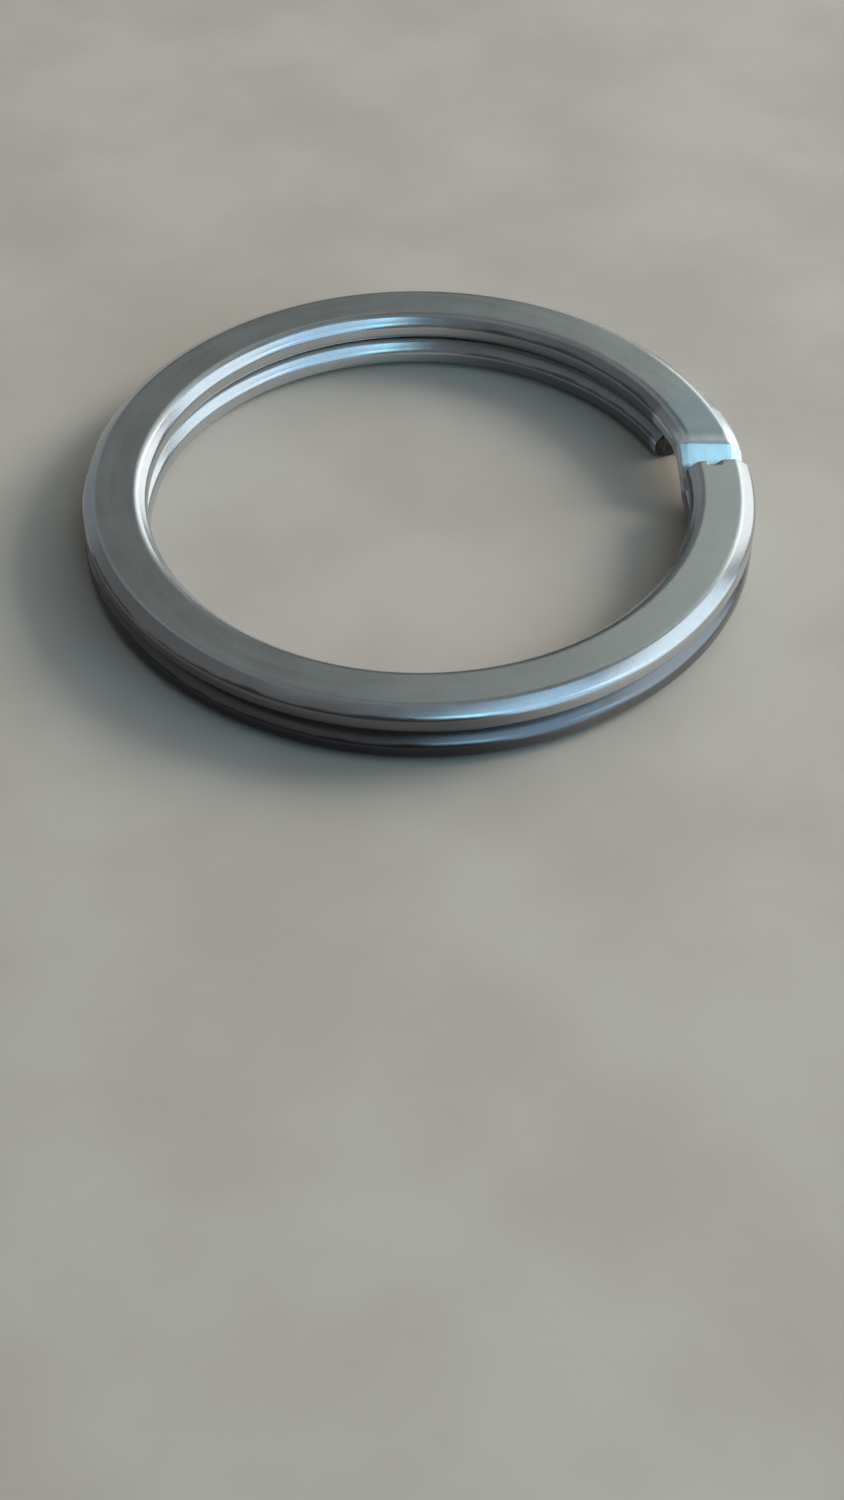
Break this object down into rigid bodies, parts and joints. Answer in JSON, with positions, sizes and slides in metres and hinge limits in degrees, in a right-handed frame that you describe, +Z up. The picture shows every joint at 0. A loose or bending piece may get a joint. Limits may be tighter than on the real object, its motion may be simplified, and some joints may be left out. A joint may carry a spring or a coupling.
{
  "type": "split ring",
  "caption": "Split key ring: flat wire with rolled round edges, coiled over itself into a ring that lies flat, with the step where the wire climbs over its own end.",
  "frame": {"origin": "Centre of the ring, on the plane it rests on: +Z up along the ring's axis, +X towards the side where the coil is split, +Y the way that the wire climbs there.", "axes": "right-handed, +Z up"},
  "size_m": [0.03, 0.03, 0.003],
  "materials": {
    "ring_steel": "Plain steel wire with a satin flat face and smoother, brighter rolled edges"
  },
  "bodies": {
    "root": {"wire_ring": "ring_steel"}
  },
  "joints": []
}
